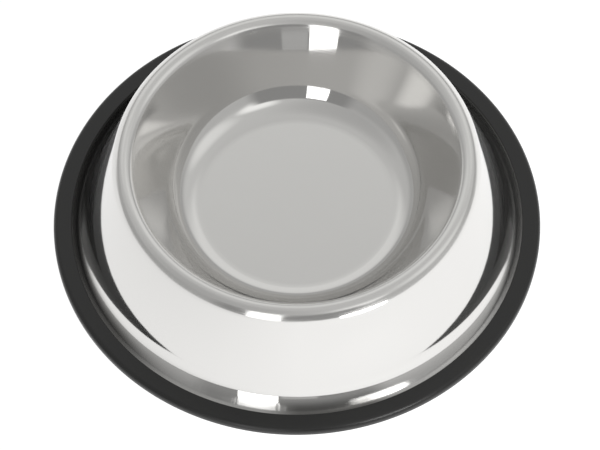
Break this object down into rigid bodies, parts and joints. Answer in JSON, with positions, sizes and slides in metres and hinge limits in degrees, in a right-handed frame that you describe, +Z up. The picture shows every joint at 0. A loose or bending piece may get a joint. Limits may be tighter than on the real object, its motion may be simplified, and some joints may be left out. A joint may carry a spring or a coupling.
{
  "type": "cat bowl",
  "caption": "Non-tip cat bowl: polished steel pressing with a round food bowl, bent rim and flared skirt, standing on a slotted rubber ring.",
  "frame": {"origin": "on the table, under the middle of the bowl", "axes": "+Z up along the bowl's axis of revolution; X and Y lie in the table and are alike"},
  "size_m": [0.16, 0.16, 0.038],
  "materials": {
    "polished_steel": "mirror-polished stainless steel",
    "black_rubber": "satin moulded rubber"
  },
  "bodies": {
    "ring": {"rubber_ring": "black_rubber"},
    "bowl": {"steel_bowl": "polished_steel"}
  },
  "joints": [
    {"name": "bowl_lift", "type": "slide", "parent": "ring", "child": "bowl", "axis": [0, 0, 1], "range_m": [0, 0.04], "deforming": ["rubber_ring"]}
  ]
}
